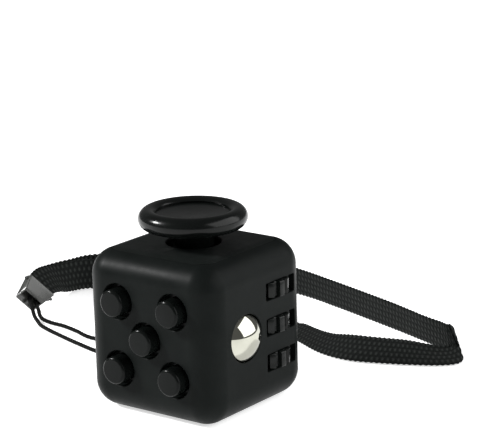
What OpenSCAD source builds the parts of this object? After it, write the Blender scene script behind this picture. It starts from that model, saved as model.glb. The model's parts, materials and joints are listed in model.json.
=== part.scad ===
// Fidget cube with a wrist lanyard.
// Origin: centre of the flat base face. +Z up, buttons face -Y, ball and rollers face +X.

/* [Body] */
// Width and depth of the cube
body_w = 33; // [32.5:0.1:34]
// Height of the cube
body_h = 33.8; // [33.5:0.1:34.2]
// Radius of the rounded edges and corners
edge_r = 5.6; // [5.2:0.1:5.9]
// Thickness of the side walls
wall = 2; // [1.8:0.1:2.2]

/* [Buttons] */
// Distance of the corner buttons from the middle one, along each side
button_offset = 7.1; // [6.9:0.05:7.3]
// Radius of a button cap
button_r = 2.9; // [2.7:0.05:3.1]
// Radius of the hole around a button
button_hole_r = 3.75; // [3.6:0.05:3.9]
// How far a button stands out of its face
button_proud = 2.2; // [1.8:0.1:2.4]

/* [Joystick] */
// Radius of the middle of the cap's rounded rim
cap_ring_r = 9.2; // [9:0.1:9.3]
// Radius of the rim's round section
cap_rim_r = 2.1; // [1.9:0.1:2.1]
// Height of the rim's middle above the base
cap_z = 39; // [38.8:0.1:39.4]
// Radius of the neck in the top hole
neck_r = 4.2; // [4:0.1:4.2]
// Radius of the hole in the top panel
neck_hole_r = 5.7; // [5.7:0.1:6]

/* [Ball and rollers] */
// Radius of the steel ball
ball_r = 6; // [5.9:0.05:6.05]
// Radius of the hole that the ball shows through
ball_hole_r = 5; // [4.8:0.1:5.2]
// Radius of a click roller over its ribs
roller_r = 5.2; // [5:0.05:5.25]
// Ribs on each roller
roller_ribs = 12; // [10:1:14]
// Height of a roller
roller_h = 3.3; // [3:0.1:3.4]

/* [Dial and rocker] */
// Radius of the spinning dial
dial_r = 9.55; // [9:0.05:9.6]
// Width of the rocker switch
rocker_w = 7.8; // [7.4:0.1:7.8]
// Tilt of the rocker at rest, in degrees
rocker_tilt = 8; // [6:0.5:8]

/* [Lanyard] */
// Width of the woven wrist strap
strap_w = 7.4; // [7:0.1:7.6]
// Thickness of the wrist strap
strap_t = 0.9; // [0.8:0.1:1]
// Diameter of the thin cord loop
cord_d = 0.9; // [0.8:0.1:1]

/* [Hidden] */

$fn = 48;
eps = 0.01;
half = body_w / 2;
mid_z = body_h / 2;
inner_face = half - wall;

// Panels and the pockets that they sit in
panel_w = body_w - 7.4;
panel_r = 3.2;
panel_t = 2;
panel_gap = 0.1;
ledge_w = panel_w - 2.7;
ledge_t = 1.5;
rim_w = ledge_w - 0.2;
rim_t = 1;
dish_r = 9;
dish_depth = 1.3;
dish_sphere_r = (dish_r * dish_r + dish_depth * dish_depth) / (2 * dish_depth);
boss_r = 10;
boss_t = 1.2;

// Buttons: heights are measured out of the face, so they are negative inside
flange_r = 4.3;
flange_front = -wall - 0.3;
flange_back = flange_front - 0.8;
guide_front = -5.6;
guide_t = 1.2;
button_stem_r = 1.5;
button_stem_end = -7.2;
run_gap = 0.05;
button_places = [[-button_offset, mid_z + button_offset], [button_offset, mid_z + button_offset],
  [0, mid_z], [-button_offset, mid_z - button_offset], [button_offset, mid_z - button_offset]];
guide_posts = [[-12, mid_z], [0, 8.2], [0, 25.6], [12.3, 6.2], [12.3, 27.6]];
post_r = 1.4;

// Small screws
screw_r = 0.5;
screw_head_r = 0.95;
screw_head_t = 0.6;

// Joystick
pivot_z = 28.9;
pivot_pin_r = 0.7;
stem_r = 3;
stem_foot_z = 25;
neck_bottom = 31.2;
ring_in = 3.5;
ring_out = 5.4;
ring_h = 2.2;
cup_in = 6;
cup_out = 7.2;
cup_top = body_h - panel_t;
cup_floor = 24;
tube_in = 3.2;
tube_out = 4;
tube_floor = 20.6;
cup_wall = 0.8;
ear_place = 8.7;
ear_r = 1.8;
ear_t = 1.5;

// Ball
ball_y = -4.5;
ball_z = 17;
ball_x = half - 3.85;
plunger_front = 8.5;
plunger_back = 4.9;
plunger_r = 4.6;
plunger_stem_r = 1.5;
guide_wall_x = [0.6, 2];

// Rollers
roller_x = half + 0.9 - roller_r;
roller_y = 7.2;
roller_pitch = 7.55;
roller_places = [mid_z + 0.35 + roller_pitch, mid_z + 0.35, mid_z + 0.35 - roller_pitch];
axle_r = 1;
window_w = 9.8;
window_h = 3.7;

// Dial
dial_recess_r = dial_r + 0.35;
dial_recess = 1;
dial_back = -0.75;
dial_front = 1.2;
dial_shaft_r = 1.6;
dial_shaft_end = -3.9;
stud_place = 5.9;
stud_r = 1.9;

// Rocker
rocker_y = 12.6;
rocker_pin_r = 0.8;
rocker_hole_w = rocker_w + 0.6;
rocker_hole_h = 14.4;
plunger_x = -1.9;

// Lanyard eyelet: a tunnel across the rear left edge of the shell
eye_z = 6.8;
eye_reach = 9;
eye_r = 1;

// Strap clip: its own axes run across the strap, through its thickness and towards the cord.
// It narrows towards the cord, and its end is cut at a slant.
clip_at = [-70.25, 29.15, 5.95];
clip_mouth_w = 4;
clip_mouth_t = 1.2;
clip_end_w = 2.95;
clip_end_t = 1.36;
clip_end_x = -0.5;
clip_end_z = 4.75;
clip_slant = 1.2;
clip_wall = 0.3;
clip_pin_at = 1;
function unit(v) = v / norm(v);
clip_axis = unit([-0.005, -0.768, -0.638]);
clip_across = unit([0.335, 0.64, -0.69] - clip_axis * ([0.335, 0.64, -0.69] * clip_axis));
clip_normal = cross(clip_axis, clip_across);

// Route of the thin cord: out of one end of the eyelet, round inside the clip and back
cord_route = [[-12.9, 12.6, 6.8], [-16.5, 9, 6.8], [-18.6, 7.7, 6.6], [-22, 8.3, 4.8],
  [-26, 9.3, 2.4], [-31, 10, 0.8], [-37, 10.8, 0.5], [-44, 12.6, 0.5], [-51.4, 14.9, 0.5],
  [-57.5, 17, 0.5], [-60.6, 18.3, 0.5], [-63.2, 20.1, 0.5], [-65.9, 21.9, 0.9],
  [-67.48, 23.06, 1.78], [-69.1, 24.3, 2.6], [-70.6, 25.5, 3.5], [-70.6, 26.5, 4.3],
  [-70.3, 27.7, 4.3], [-70, 27.6, 3.1], [-69.9, 26.7, 2.3], [-68.3, 25.5, 2], [-66.2, 23.7, 1.8],
  [-64.65, 22.35, 1.25], [-62.9, 21.6, 0.7], [-59.9, 21.2, 0.5], [-56, 20.9, 0.5],
  [-51, 19.6, 0.5], [-44.3, 17.6, 0.5], [-34, 18.6, 0.7], [-24, 21.3, 2], [-16, 22.8, 4],
  [-11.4, 22.3, 5.6], [-8.7, 20.4, 6.5], [-8, 18.2, 6.8], [-9, 16.5, 6.8], [-12.6, 12.9, 6.8]];

// Route of the strap's lower edge, and how far its upper edge leans along X and Y
strap_route = [[-69.4, 30.05, 1.45, -0.335, -0.64], [-69.4, 31.65, 2.75, -0.335, -0.64],
  [-71.2, 34.8, 2.4, -0.3, -0.5], [-73.4, 38.8, 0.9, -0.2, -0.26], [-74.6, 44.5, 0.1, 0, -0.05],
  [-73.2, 50.5, 0, 0, 0], [-66, 57.6, 0, 0, 0], [-56, 64.6, 0, 0, -0.04],
  [-46, 69.2, 0, 0, -0.1], [-35, 71.5, 0, -0.03, -0.2], [-23, 70.4, 0, -0.07, -0.27],
  [-11, 66.9, 0, -0.08, -0.28], [1, 62.9, 0, -0.08, -0.28], [12, 59.1, 0, -0.09, -0.28],
  [22, 55.4, 0, -0.11, -0.3], [27.6, 53.2, 0, -0.12, -0.26], [31.4, 51.4, 0, -0.25, -0.15],
  [33.7, 49.6, 0, -0.6, 0.45], [34.3, 47.4, 0, -0.667, 0.65], [32.6, 44.8, 0, -0.62, 0.74],
  [28.4, 42, 0, -0.55, 0.75], [20.5, 38.4, 0, -0.3, 0.835], [12.5, 36, 0, -0.18, 0.86],
  [4.5, 37, 0.05, -0.13, 0.95], [-5, 41.4, 0.1, -0.15, 0.98], [-16, 46.5, 0.1, -0.05, 0.98],
  [-28, 51, 0, 0, 0.75], [-41, 53.6, 0, 0, 0.35], [-54, 53.8, 0, 0, 0.1], [-65, 51.4, 0, 0, 0],
  [-71.2, 46.8, 0.1, 0, -0.05], [-71.6, 40.2, 0.9, -0.2, -0.26], [-69.7, 35, 2.6, -0.3, -0.5],
  [-68.6, 31.45, 2.95, -0.335, -0.64], [-68.6, 29.85, 1.65, -0.335, -0.64]];

// ---------- helpers ----------

// Square with round corners, exact
module round_square(w, r) {
  square([w, w - 2 * r], center = true);
  square([w - 2 * r, w], center = true);
  for (x = [-1, 1], y = [-1, 1]) translate([x, y] * (w / 2 - r)) circle(r);
}

// Outer form of the cube: a block whose edges and corners are all rounded by edge_r
module outer_form() {
  flat_w = body_w - 2 * edge_r;
  flat_h = body_h - 2 * edge_r;
  translate([0, 0, mid_z]) union() {
    cube([body_w, flat_w, flat_h], center = true);
    cube([flat_w, body_w, flat_h], center = true);
    cube([flat_w, flat_w, body_h], center = true);
    for (x = [-1, 1], y = [-1, 1]) translate([x, y, 0] * flat_w / 2)
      cylinder(r = edge_r, h = flat_h, center = true);
    for (x = [-1, 1], z = [-1, 1]) translate([x * flat_w / 2, 0, z * flat_h / 2])
      rotate([90, 0, 0]) cylinder(r = edge_r, h = flat_w, center = true);
    for (y = [-1, 1], z = [-1, 1]) translate([0, y * flat_w / 2, z * flat_h / 2])
      rotate([0, 90, 0]) cylinder(r = edge_r, h = flat_w, center = true);
    for (x = [-1, 1], y = [-1, 1], z = [-1, 1])
      translate([x * flat_w / 2, y * flat_w / 2, z * flat_h / 2]) sphere(edge_r);
  }
}

// Places children on a face, their +Z pointing out of it and their origin in its plane
module on_front(x, z) { translate([x, -half, z]) rotate([90, 0, 0]) children(); }
module on_left(y, z) { translate([-half, y, z]) rotate([0, -90, 0]) children(); }

// Box from its lowest to its highest corner
module span(low, high) { translate(low) cube(high - low); }

// Screw with its head's underside at z = 0 and its shank along +Z
module screw(length) {
  cylinder(r = screw_r, h = length);
  translate([0, 0, -screw_head_t]) cylinder(r = screw_head_r, h = screw_head_t);
}

// Tube or ribbon swept through rings of points
module sweep(rings) {
  n = len(rings[0]);
  count = len(rings);
  polyhedron(
    points = [for (ring = rings) each ring],
    faces = concat([[for (i = [0 : n - 1]) i]],
      [for (k = [0 : count - 2], i = [0 : n - 1])
        let (a = k * n + i, b = k * n + (i + 1) % n, c = b + n, d = a + n) each [[a, d, b], [b, d, c]]],
      [[for (i = [n - 1 : -1 : 0]) (count - 1) * n + i]]));
}

// Round wire coil along +Z from z = 0, its ends laid flat inside its length
module coil(mean_r, wire, length, turns) {
  sides = 8;
  per_turn = 14;
  steps = turns * per_turn;
  rise = length - wire;
  sweep([for (k = [0 : steps])
    let (a = 360 * k / per_turn, z = wire / 2 + rise * k / steps)
    [for (i = [0 : sides - 1]) let (b = 360 * i / sides, r = mean_r + wire / 2 * cos(b))
      [r * cos(a), r * sin(a), z + wire / 2 * sin(b)]]]);
}

// Point of a smooth curve through a list, at t between entries i and i + 1
function entry(list, i) = i < 0 ? 2 * list[0] - list[1]
  : i >= len(list) ? 2 * list[len(list) - 1] - list[len(list) - 2] : list[i];
function blend(list, i, t) =
  let (a = entry(list, i - 1), b = entry(list, i), c = entry(list, i + 1), d = entry(list, i + 2))
  0.5 * (2 * b + (c - a) * t + (2 * a - 5 * b + 4 * c - d) * t * t
    + (3 * b - a - 3 * c + d) * t * t * t);
function smooth(list, parts) = [for (i = [0 : len(list) - 2], k = [0 : parts - 1])
  blend(list, i, k / parts), list[len(list) - 1]];

// ---------- casing ----------

module shell_pockets() {
  translate([0, 0, panel_t + ledge_t])
    linear_extrude(body_h - 2 * (panel_t + ledge_t)) round_square(body_w - 2 * wall, edge_r - wall);
  translate([0, 0, -eps]) linear_extrude(body_h + 2 * eps) round_square(ledge_w, panel_r);
  for (z = [-eps, body_h - panel_t])
    translate([0, 0, z]) linear_extrude(panel_t + eps) round_square(panel_w + 2 * panel_gap, panel_r);
}

module shell_openings() {
  for (p = button_places) on_front(p[0], p[1])
    translate([0, 0, -wall - 1]) cylinder(r = button_hole_r, h = wall + 2);
  translate([ball_x, ball_y, ball_z]) sphere(ball_r + 0.15);
  translate([ball_x, ball_y, ball_z]) rotate([0, 90, 0]) cylinder(r = ball_hole_r, h = 6);
  for (z = roller_places)
    span([inner_face - 1, roller_y - window_w / 2, z - window_h / 2],
      [half + 1, roller_y + window_w / 2, z + window_h / 2]);
  span([-rocker_hole_w / 2, inner_face - 1, mid_z - rocker_hole_h / 2],
    [rocker_hole_w / 2, half + 1, mid_z + rocker_hole_h / 2]);
  on_left(0, mid_z) translate([0, 0, -dial_recess]) cylinder(r = dial_recess_r, h = 2);
  on_left(0, mid_z) translate([0, 0, -wall - 1]) cylinder(r = dial_shaft_r + run_gap, h = wall + 2);
}

module shell_posts() {
  for (p = guide_posts) on_front(p[0], p[1])
    translate([0, 0, guide_front]) cylinder(r = post_r, h = -guide_front - 1);
  for (x = [-1, 1]) translate([x * (rocker_hole_w / 2 + 1.2), 0, 0])
    span([-0.9, 11, mid_z - 1.8], [0.9, inner_face + 0.5, mid_z + 1.8]);
  span([-inner_face - 0.1, eye_reach - 1.6, eye_z - 2], [-eye_reach + 1.6, inner_face + 0.1, eye_z + 2]);
}

module shell() {
  color([0.06, 0.06, 0.07]) difference() {
    union() {
      difference() { outer_form(); shell_pockets(); }
      shell_posts();
    }
    shell_openings();
    for (p = guide_posts) on_front(p[0], p[1])
      translate([0, 0, guide_front - eps]) cylinder(r = screw_r, h = 3.2);
    for (z = [9, 25]) translate([7.6, inner_face - eps, z]) rotate([-90, 0, 0])
      cylinder(r = screw_r, h = 1.2);
    translate([-rocker_hole_w, rocker_y, mid_z]) rotate([0, 90, 0])
      cylinder(r = rocker_pin_r, h = 2 * rocker_hole_w);
    translate([-half, eye_reach, eye_z]) rotate([0, 90, 45])
      translate([0, 0, -2]) cylinder(r = eye_r, h = (half - eye_reach) * sqrt(2) + 4);
  }
}

// Rim under a panel that plugs into the shell's ledge
module panel_rim() {
  difference() {
    round_square(rim_w, panel_r - 0.1);
    round_square(rim_w - 2 * rim_t, panel_r - rim_t);
  }
}

module top_panel() {
  color([0.05, 0.05, 0.055]) difference() {
    union() {
      intersection() {
        outer_form();
        translate([0, 0, cup_top]) linear_extrude(panel_t + 1) round_square(panel_w, panel_r);
      }
      translate([0, 0, cup_top - 1.4]) linear_extrude(1.4) panel_rim();
    }
    translate([0, 0, cup_top - 1]) cylinder(r = neck_hole_r, h = panel_t + 2);
    translate([0, 0, cup_top - 1]) cylinder(r = neck_hole_r + 0.7, h = 1.6);
    for (a = [45 : 90 : 315]) rotate(a) translate([ear_place, 0, cup_top - eps])
      cylinder(r = screw_r, h = 1.2);
  }
}

module base_panel() {
  color([0.05, 0.05, 0.055]) difference() {
    union() {
      intersection() {
        outer_form();
        linear_extrude(panel_t) round_square(panel_w, panel_r);
      }
      translate([0, 0, panel_t]) linear_extrude(1.4) panel_rim();
      translate([0, 0, panel_t]) cylinder(r = boss_r, h = boss_t);
    }
    translate([0, 0, dish_depth - dish_sphere_r]) sphere(dish_sphere_r, $fn = 128);
  }
}

// ---------- frame inside the cube ----------

module side_bracket() {
  shelf_low = [6.2, 11.8, 19.35, 26.9];
  shelf_high = [7.7, 15.2, 22.7, 28.4];
  color([0.16, 0.16, 0.17]) difference() {
    union() {
      span([6.5, 12.75, 6.2], [10.8, inner_face, 28.4]);
      for (i = [0 : 3]) {
        span([8.6, 5.2, shelf_low[i]], [12, 13.5, shelf_high[i]]);
        span([9.6, 5.2, shelf_low[i]], [13.8, 10.4, shelf_high[i]]);
      }
      span([guide_wall_x[0], 5.2, shelf_low[1]], [9.6, 8, shelf_high[1]]);
      span([guide_wall_x[0], ball_y - 2.7, ball_z - 5.2], [guide_wall_x[1], 8, ball_z + 2.1]);
      span([plunger_x - 2, 2.6, mid_z - 2], [guide_wall_x[0], 7.4, mid_z + 2]);
    }
    translate([roller_x, roller_y, 5]) cylinder(r = axle_r, h = 25);
    translate([guide_wall_x[0] - 1, ball_y, ball_z]) rotate([0, 90, 0])
      cylinder(r = plunger_stem_r + run_gap, h = 4);
    translate([plunger_x, 3.4, mid_z]) rotate([-90, 0, 0]) cylinder(r = 1.2, h = 6);
    for (z = [9, 25]) translate([7.6, 12, z]) rotate([-90, 0, 0]) cylinder(r = screw_r, h = 4);
  }
}

module bracket_screws() {
  color([0.7, 0.7, 0.72]) for (z = [9, 25])
    translate([7.6, 12.75, z]) rotate([-90, 0, 0]) screw(2.8);
}

// ---------- buttons ----------

module button(p) {
  color([0.05, 0.05, 0.055]) on_front(p[0], p[1]) rotate_extrude()
    polygon([[0, button_stem_end], [button_stem_r, button_stem_end], [button_stem_r, flange_back],
      [flange_r, flange_back], [flange_r, flange_front], [button_r, flange_front],
      [button_r, button_proud - 0.35], [button_r - 0.35, button_proud], [0, button_proud]]);
}

module button_spring(p) {
  color([0.75, 0.75, 0.77]) on_front(p[0], p[1]) translate([0, 0, guide_front])
    coil(2.2, 0.3, flange_back - guide_front, 3);
}

module button_1() { button(button_places[0]); }
module button_2() { button(button_places[1]); }
module button_3() { button(button_places[2]); }
module button_4() { button(button_places[3]); }
module button_5() { button(button_places[4]); }
module button_spring_1() { button_spring(button_places[0]); }
module button_spring_2() { button_spring(button_places[1]); }
module button_spring_3() { button_spring(button_places[2]); }
module button_spring_4() { button_spring(button_places[3]); }
module button_spring_5() { button_spring(button_places[4]); }

module button_guide() {
  plate_back = guide_front - guide_t;
  color([0.16, 0.16, 0.17]) difference() {
    span([-13.6, -half - guide_front, 4.8], [13.6, -half - plate_back, 29]);
    for (p = button_places) on_front(p[0], p[1])
      translate([0, 0, plate_back - 1]) cylinder(r = button_stem_r + run_gap, h = guide_t + 2);
    for (p = guide_posts) on_front(p[0], p[1])
      translate([0, 0, plate_back - 1]) cylinder(r = screw_r, h = guide_t + 2);
    translate([5.5, ball_y, ball_z]) rotate([0, 90, 0]) cylinder(r = 7.1, h = 12);
  }
}

module guide_screws() {
  color([0.7, 0.7, 0.72]) for (p = guide_posts) on_front(p[0], p[1])
    translate([0, 0, guide_front - guide_t]) screw(4.2);
}

// ---------- joystick ----------

module joystick_cap() {
  dish_edge_r = 7.8;
  dish_edge_z = cap_z + 1.05;
  dish_sag = 0.6;
  big_r = (dish_edge_r * dish_edge_r + dish_sag * dish_sag) / (2 * dish_sag);
  color([0.05, 0.05, 0.055]) difference() {
    union() {
      rotate_extrude($fn = 96) translate([cap_ring_r, cap_z]) circle(cap_rim_r);
      translate([0, 0, cap_z - 1.5]) cylinder(r = cap_ring_r, h = 3, $fn = 96);
    }
    translate([0, 0, dish_edge_z])
      cylinder(r1 = dish_edge_r, r2 = dish_edge_r + 1.1, h = 1.2, $fn = 96);
    intersection() {
      translate([0, 0, dish_edge_z - dish_sag + big_r]) sphere(big_r, $fn = 128);
      translate([0, 0, cap_z]) cylinder(r = dish_edge_r, h = 1.1);
    }
    translate([0, 0, cap_z - 2]) cylinder(r = stem_r, h = 2);
  }
}

module joystick_stem() {
  color([0.05, 0.05, 0.055]) difference() {
    union() {
      translate([0, 0, stem_foot_z]) cylinder(r = stem_r, h = cap_z - stem_foot_z);
      translate([0, 0, neck_bottom]) cylinder(r = neck_r, h = cap_z - 1.5 - neck_bottom);
    }
    translate([0, 10, pivot_z]) rotate([90, 0, 0]) cylinder(r = pivot_pin_r, h = 20);
  }
}

module stem_pin() {
  color([0.75, 0.75, 0.77]) translate([0, 4.9, pivot_z]) rotate([90, 0, 0])
    cylinder(r = pivot_pin_r, h = 9.8);
}

module gimbal_ring() {
  color([0.8, 0.8, 0.78]) difference() {
    union() {
      translate([0, 0, pivot_z - ring_h / 2]) cylinder(r = ring_out, h = ring_h);
      translate([-7.1, 0, pivot_z]) rotate([0, 90, 0]) cylinder(r = pivot_pin_r, h = 14.2);
    }
    translate([0, 0, pivot_z - ring_h]) cylinder(r = ring_in, h = 2 * ring_h);
    translate([0, 8, pivot_z]) rotate([90, 0, 0]) cylinder(r = pivot_pin_r + run_gap, h = 16);
  }
}

module joystick_cup() {
  color([0.16, 0.16, 0.17]) difference() {
    union() {
      translate([0, 0, cup_floor - cup_wall]) cylinder(r = cup_out, h = cup_top - cup_floor + cup_wall);
      translate([0, 0, tube_floor - cup_wall]) cylinder(r = tube_out, h = cup_floor - tube_floor);
      for (a = [45 : 90 : 315]) rotate(a) translate([ear_place, 0, cup_top - ear_t])
        cylinder(r = ear_r, h = ear_t);
    }
    translate([0, 0, cup_floor]) cylinder(r = cup_in, h = 12);
    translate([0, 0, tube_floor]) cylinder(r = tube_in, h = 12);
    translate([-10, 0, pivot_z]) rotate([0, 90, 0]) cylinder(r = pivot_pin_r + run_gap, h = 20);
    for (a = [45 : 90 : 315]) rotate(a) translate([ear_place, 0, cup_top - 3])
      cylinder(r = screw_r, h = 4);
  }
}

module joystick_spring() {
  color([0.75, 0.75, 0.77]) translate([0, 0, tube_floor])
    coil(2.4, 0.4, stem_foot_z - tube_floor, 4.5);
}

module cup_screws() {
  color([0.7, 0.7, 0.72]) for (a = [45 : 90 : 315])
    rotate(a) translate([ear_place, 0, cup_top - ear_t]) screw(2.6);
}

// ---------- ball ----------

module ball() {
  color([0.8, 0.8, 0.82]) translate([ball_x, ball_y, ball_z]) sphere(ball_r, $fn = 96);
}

module ball_plunger() {
  color([0.8, 0.8, 0.78]) difference() {
    union() {
      translate([plunger_back, ball_y, ball_z]) rotate([0, 90, 0])
        cylinder(r = plunger_r, h = plunger_front - plunger_back);
      translate([-0.6, ball_y, ball_z]) rotate([0, 90, 0])
        cylinder(r = plunger_stem_r, h = plunger_back + 0.6);
    }
    translate([ball_x, ball_y, ball_z]) sphere(ball_r + 0.06, $fn = 96);
  }
}

module ball_spring() {
  color([0.75, 0.75, 0.77]) translate([guide_wall_x[1], ball_y, ball_z]) rotate([0, 90, 0])
    coil(2.4, 0.4, plunger_back - guide_wall_x[1], 3);
}

// ---------- click rollers ----------

module roller(z) {
  chamfer = 0.25;
  root_r = roller_r - 0.9;
  rib_w = 0.57 * 2 * PI * roller_r / roller_ribs;
  color([0.06, 0.06, 0.065]) translate([roller_x, roller_y, z]) difference() {
    intersection() {
      translate([0, 0, -roller_h / 2]) linear_extrude(roller_h) union() {
        circle(root_r);
        for (i = [0 : roller_ribs - 1]) rotate(i * 360 / roller_ribs)
          translate([root_r - 0.5, -rib_w / 2]) square([2, rib_w]);
      }
      rotate_extrude() polygon([[0, -roller_h / 2], [roller_r - chamfer, -roller_h / 2],
        [roller_r, chamfer - roller_h / 2], [roller_r, roller_h / 2 - chamfer],
        [roller_r - chamfer, roller_h / 2], [0, roller_h / 2]]);
    }
    cylinder(r = axle_r + run_gap, h = 2 * roller_h, center = true);
  }
}

module roller_1() { roller(roller_places[0]); }
module roller_2() { roller(roller_places[1]); }
module roller_3() { roller(roller_places[2]); }

module roller_axle() {
  color([0.75, 0.75, 0.77]) translate([roller_x, roller_y, 5.8]) cylinder(r = axle_r, h = 23);
}

// ---------- dial ----------

module dial() {
  color([0.05, 0.05, 0.055]) on_left(0, mid_z) {
    difference() {
      union() {
        rotate_extrude($fn = 96) polygon([[0, dial_back], [dial_r, dial_back],
          [dial_r, dial_front - 0.5], [dial_r - 0.5, dial_front], [0, dial_front]]);
        translate([0, 0, dial_shaft_end]) cylinder(r = dial_shaft_r, h = -dial_shaft_end);
      }
      translate([0, 0, dial_shaft_end - eps]) cylinder(r = 0.6, h = 2.3);
      translate([0, 0, dial_front - 0.7 + 50]) sphere(50, $fn = 128);
    }
    translate([stud_place, 0, 0]) cylinder(r = stud_r, h = dial_front + 0.5);
    translate([stud_place, 0, dial_front - 0.1]) intersection() {
      sphere(2);
      cylinder(r = stud_r, h = 1.9);
    }
  }
}

module dial_washer() {
  color([0.75, 0.75, 0.77]) on_left(0, mid_z) translate([0, 0, -wall - 1]) difference() {
    cylinder(r = 3.6, h = 0.7);
    translate([0, 0, -1]) cylinder(r = dial_shaft_r, h = 3);
  }
}

module dial_screw() {
  color([0.7, 0.7, 0.72]) on_left(0, mid_z) {
    translate([0, 0, dial_shaft_end]) cylinder(r = 0.6, h = 2.2);
    translate([0, 0, dial_shaft_end - 0.7]) cylinder(r = 2.3, h = 0.7);
  }
}

// ---------- rocker ----------

module rocker() {
  face = [4.4, 6.3];
  side = [[2.6, 6.5], [-0.5, 3.2], [-2.2, 1.2], [-2.9, 0.5]];
  outline = concat([[3.7, 0], face], side,
    [for (i = [3 : -1 : 0]) [side[i][0], -side[i][1]]], [[face[0], -face[1]]]);
  color([0.05, 0.05, 0.055]) translate([0, rocker_y, mid_z]) rotate([rocker_tilt, 0, 0])
    difference() {
      rotate([90, 0, 90]) translate([0, 0, -rocker_w / 2]) linear_extrude(rocker_w) polygon(outline);
      rotate([0, 90, 0]) cylinder(r = rocker_pin_r + run_gap, h = 2 * rocker_w, center = true);
    }
}

module rocker_pin() {
  color([0.75, 0.75, 0.77]) translate([-6.2, rocker_y, mid_z]) rotate([0, 90, 0])
    cylinder(r = rocker_pin_r, h = 12.4);
}

module rocker_plunger() {
  tip_r = 1.1;
  color([0.8, 0.8, 0.78]) translate([plunger_x, 5.5, mid_z]) rotate([-90, 0, 0]) {
    cylinder(r = tip_r, h = 2.4);
    translate([0, 0, 2.4]) intersection() {
      sphere(tip_r);
      cylinder(r = tip_r, h = tip_r);
    }
  }
}

module rocker_spring() {
  color([0.75, 0.75, 0.77]) translate([plunger_x, 3.4, mid_z]) rotate([-90, 0, 0])
    coil(0.8, 0.25, 2.1, 4);
}

// ---------- lanyard ----------

module lanyard_cord() {
  sides = 8;
  path = smooth(cord_route, 2);
  last = len(path) - 1;
  color([0.03, 0.03, 0.03]) sweep([for (k = [0 : last])
    let (along = unit(path[min(k + 1, last)] - path[max(k - 1, 0)]),
      level = unit(cross([0, 0, 1], along)), up = cross(along, level))
    [for (i = [0 : sides - 1]) let (a = 360 * i / sides)
      path[k] + cord_d / 2 * (level * cos(a) + up * sin(a))]]);
}

function lean(p) = [p[3], p[4], sqrt(max(0, 1 - p[3] * p[3] - p[4] * p[4]))];

module wrist_strap() {
  path = smooth(strap_route, 2);
  last = len(path) - 1;
  edge = 0.25;
  lift = strap_t / 2;
  color([0.03, 0.03, 0.03]) sweep([for (k = [0 : last])
    let (p = path[k], foot = [p[0], p[1], p[2] + lift], up = lean(p),
      a = path[max(k - 1, 0)], b = path[min(k + 1, last)],
      side = unit(cross([b[0] - a[0], b[1] - a[1], b[2] - a[2]], up)) * strap_t / 2,
      top = foot + up * strap_w, cut = up * edge)
    [foot + side * 0.5, foot + cut + side, top - cut + side, top + side * 0.5,
      top - side * 0.5, top - cut - side, foot + cut - side, foot - side * 0.5]]);
}

// Places children in the clip's own axes: X across, Y through its thickness, Z towards the cord
module at_clip() {
  multmatrix([for (i = [0 : 2]) [clip_across[i], clip_normal[i], clip_axis[i], clip_at[i]]])
    children();
}

// Outline of the clip seen from its broad side, made narrower all round by inset
module clip_outline(inset) {
  polygon([[-clip_mouth_w + inset, -1], [clip_mouth_w - inset, -1], [clip_mouth_w - inset, 0],
    [clip_end_x + clip_end_w - inset, clip_end_z + clip_slant],
    [clip_end_x - clip_end_w + inset, clip_end_z + clip_slant], [-clip_mouth_w + inset, 0]]);
}

// Whole clip as a block, or its hollow when inset is the wall
module clip_block(inset) {
  intersection() {
    rotate([90, 0, 0]) linear_extrude(6, center = true) clip_outline(inset);
    rotate([90, 0, 90]) linear_extrude(12, center = true)
      polygon([[-clip_mouth_t + inset, inset ? -1 : 0], [clip_mouth_t - inset, inset ? -1 : 0],
        [clip_end_t - inset, clip_end_z - clip_slant + 2 * inset],
        [inset - clip_end_t, clip_end_z + clip_slant + 2 * inset]]);
  }
}

// One half of the clip, on the side of its middle plane given by side
module clip_half(side) {
  difference() {
    clip_block(0);
    clip_block(clip_wall);
    translate([-8, side > 0 ? -16 : 0, -8]) cube(16);
    translate([-6, 0, clip_pin_at]) rotate([0, 90, 0]) cylinder(r = 0.35, h = 12);
  }
}

module clip_front() { color([0.05, 0.05, 0.055]) at_clip() clip_half(1); }
module clip_back() { color([0.05, 0.05, 0.055]) at_clip() clip_half(-1); }

module clip_pin() {
  color([0.2, 0.2, 0.21]) at_clip() translate([-4.5, 0, clip_pin_at]) rotate([0, 90, 0])
    cylinder(r = 0.35, h = 9);
}

shell();
top_panel();
base_panel();
side_bracket();
bracket_screws();
button_1();
button_2();
button_3();
button_4();
button_5();
button_spring_1();
button_spring_2();
button_spring_3();
button_spring_4();
button_spring_5();
button_guide();
guide_screws();
joystick_cap();
joystick_stem();
stem_pin();
gimbal_ring();
joystick_cup();
joystick_spring();
cup_screws();
ball();
ball_plunger();
ball_spring();
roller_1();
roller_2();
roller_3();
roller_axle();
dial();
dial_washer();
dial_screw();
rocker();
rocker_pin();
rocker_plunger();
rocker_spring();
lanyard_cord();
clip_front();
clip_back();
clip_pin();
wrist_strap();
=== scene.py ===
"""Looks of the fidget cube with its wrist lanyard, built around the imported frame.

Sizes are in millimetres in the frame's axes (+Z up, buttons on -Y, ball and rollers on +X)
and become metres where a mesh is made.
"""
import json
from math import atan2, cos, degrees, pi, radians, sin, sqrt, tan

import bmesh
import bpy
from mathutils import Matrix, Vector


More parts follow.
